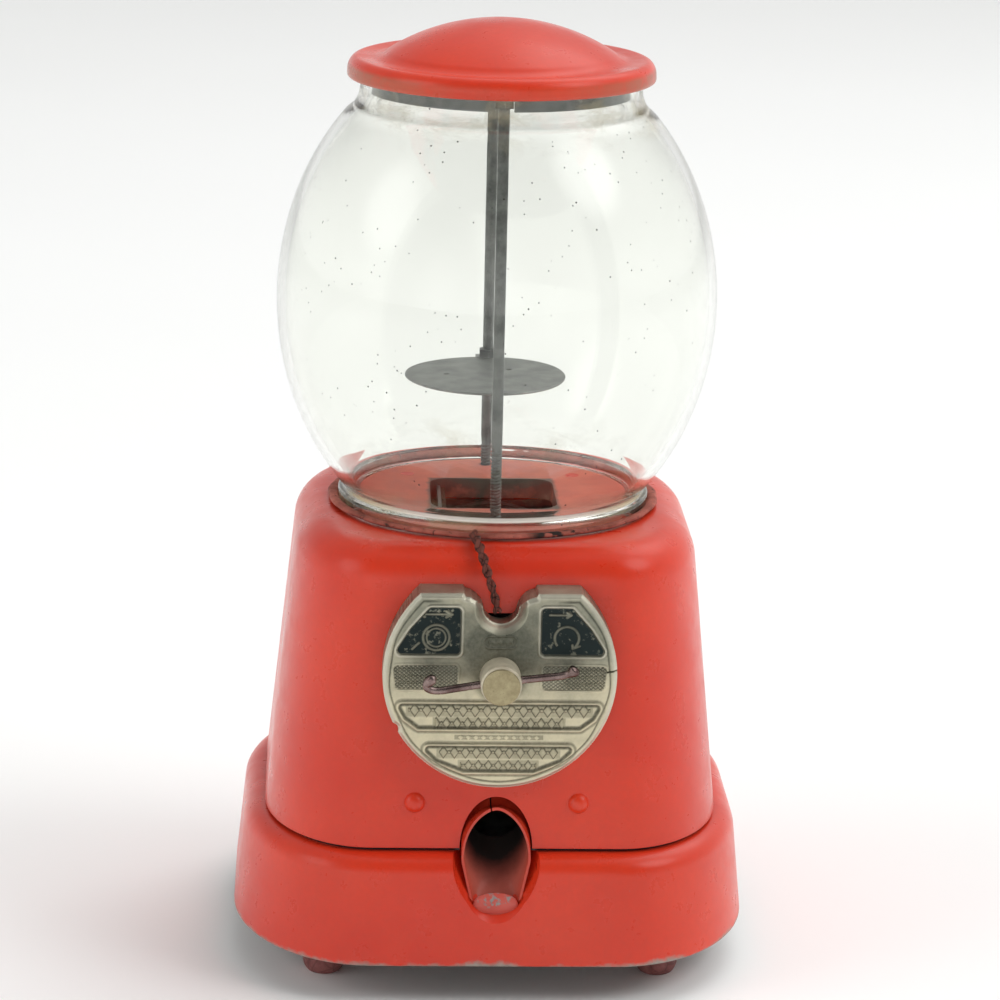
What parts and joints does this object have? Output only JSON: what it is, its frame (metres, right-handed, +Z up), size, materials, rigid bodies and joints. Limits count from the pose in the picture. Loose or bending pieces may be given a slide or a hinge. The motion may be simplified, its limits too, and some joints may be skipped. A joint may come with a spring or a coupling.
{
  "type": "penny vendor with glass globe",
  "caption": "Countertop coin vendor: a glass globe between a painted domed lid and a rounded square body with a round coin plate, turn handle, scoop chute and wide base.",
  "frame": {"origin": "centre of the base on the surface that the feet stand on", "axes": "+Z up, the coin plate and chute face -Y, +X is on the right when looking along +Y at the front"},
  "size_m": [0.2032, 0.2072, 0.3671],
  "materials": {
    "red_enamel": "gloss, worn at edges",
    "clear_glass": "clear, slightly yellowed",
    "aged_nickel": "cast, nickel plated, aged",
    "steel": "zinc plated, dull",
    "dark_steel": "oiled",
    "brass": "satin, worn",
    "bronze": "plain bearing bronze",
    "handle_steel": "rubbed, rust toned",
    "bumper_rubber": "maroon rubber",
    "gasket_cord": "cracked red-brown cord",
    "felt": "pressed felt",
    "bristle": "horsehair",
    "drum_alloy": "die cast"
  },
  "bodies": {
    "root": {"base": "red_enamel", "bottom_plate": "steel", "foot_screws": "steel", "body_shell": "red_enamel", "body_screws": "steel", "front_rivets": "red_enamel", "chute_bracket": "steel", "hopper_plate": "red_enamel", "hopper_screws": "red_enamel", "gasket_ring": "gasket_cord", "gasket_tail": "gasket_cord", "rod_washers": "steel", "coin_plate": "aged_nickel", "lever_pivots": "dark_steel", "pawl_spring": "steel", "dog_spring": "steel", "back_plate": "dark_steel", "pillars": "dark_steel", "pillar_screws": "steel", "shaft_bush": "bronze", "housing_left": "steel", "housing_right": "steel", "housing_front": "steel", "housing_rear": "steel", "rear_bush": "bronze", "brush_holder": "steel", "brush_bristles": "bristle", "chute": "red_enamel", "trough": "steel", "door_hinge": "dark_steel", "hinge_pin": "steel", "foot_front_left": "bumper_rubber", "foot_front_right": "bumper_rubber", "foot_rear_left": "bumper_rubber", "foot_rear_right": "bumper_rubber"},
    "globe": {"globe": "clear_glass"},
    "lid": {"lid_cap": "red_enamel", "lid_gasket": "felt", "clamp_plate": "steel", "lid_post": "steel", "post_screw": "steel", "tie_rod_front": "steel", "tie_rod_rear": "steel", "rod_nuts": "steel", "baffle_disc": "steel"},
    "wing_nut_front": {"wing_nut_front": "steel"},
    "wing_nut_rear": {"wing_nut_rear": "steel"},
    "spindle": {"hub": "aged_nickel", "hub_cap": "brass", "handle_wire": "handle_steel", "handle_shaft": "dark_steel", "coin_carrier": "dark_steel", "ratchet_wheel": "dark_steel", "measuring_drum": "drum_alloy", "shaft_nut": "steel"},
    "pawl": {"ratchet_pawl": "dark_steel"},
    "coin_dog": {"coin_dog": "dark_steel"},
    "door": {"back_door": "red_enamel", "lock_barrel": "brass"},
    "lock_cam": {"lock_cam": "steel"}
  },
  "joints": [
    {"name": "globe_lift", "type": "slide", "parent": "root", "child": "globe", "axis": [0, 0, 1], "range_m": [0, 0.06]},
    {"name": "lid_lift", "type": "slide", "parent": "globe", "child": "lid", "axis": [0, 0, 1], "range_m": [0, 0.2]},
    {"name": "handle_turn", "type": "hinge", "parent": "root", "child": "spindle", "pos_m": [0, 0, 0.1298], "axis": [0, 1, 0], "continuous": true},
    {"name": "wing_nut_front_turn", "type": "hinge", "parent": "root", "child": "wing_nut_front", "pos_m": [-0.001, -0.0465, 0.165], "axis": [0, 0, 1], "continuous": true},
    {"name": "wing_nut_rear_turn", "type": "hinge", "parent": "root", "child": "wing_nut_rear", "pos_m": [-0.001, 0.0465, 0.165], "axis": [0, 0, 1], "continuous": true},
    {"name": "pawl_swing", "type": "hinge", "parent": "root", "child": "pawl", "pos_m": [0.026, -0.0733, 0.1238], "axis": [0, 1, 0], "range_deg": [0, 12], "stiffness_Nm_per_rad": 0.02, "springref_deg": -17.19, "deforming": ["pawl_spring"]},
    {"name": "coin_dog_swing", "type": "hinge", "parent": "root", "child": "coin_dog", "pos_m": [-0.026, -0.076, 0.1338], "axis": [0, -1, 0], "range_deg": [0, 10], "stiffness_Nm_per_rad": 0.02, "springref_deg": -17.19, "deforming": ["dog_spring"]},
    {"name": "door_swing", "type": "hinge", "parent": "root", "child": "door", "pos_m": [-0.0418, 0.08823, 0.10435], "axis": [0, -0.1033, 0.9947], "range_deg": [0, 105]},
    {"name": "lock_cam_turn", "type": "hinge", "parent": "door", "child": "lock_cam", "pos_m": [0.022, 0.08087, 0.10359], "axis": [0, 0.9947, 0.1033], "range_deg": [0, 90]}
  ]
}
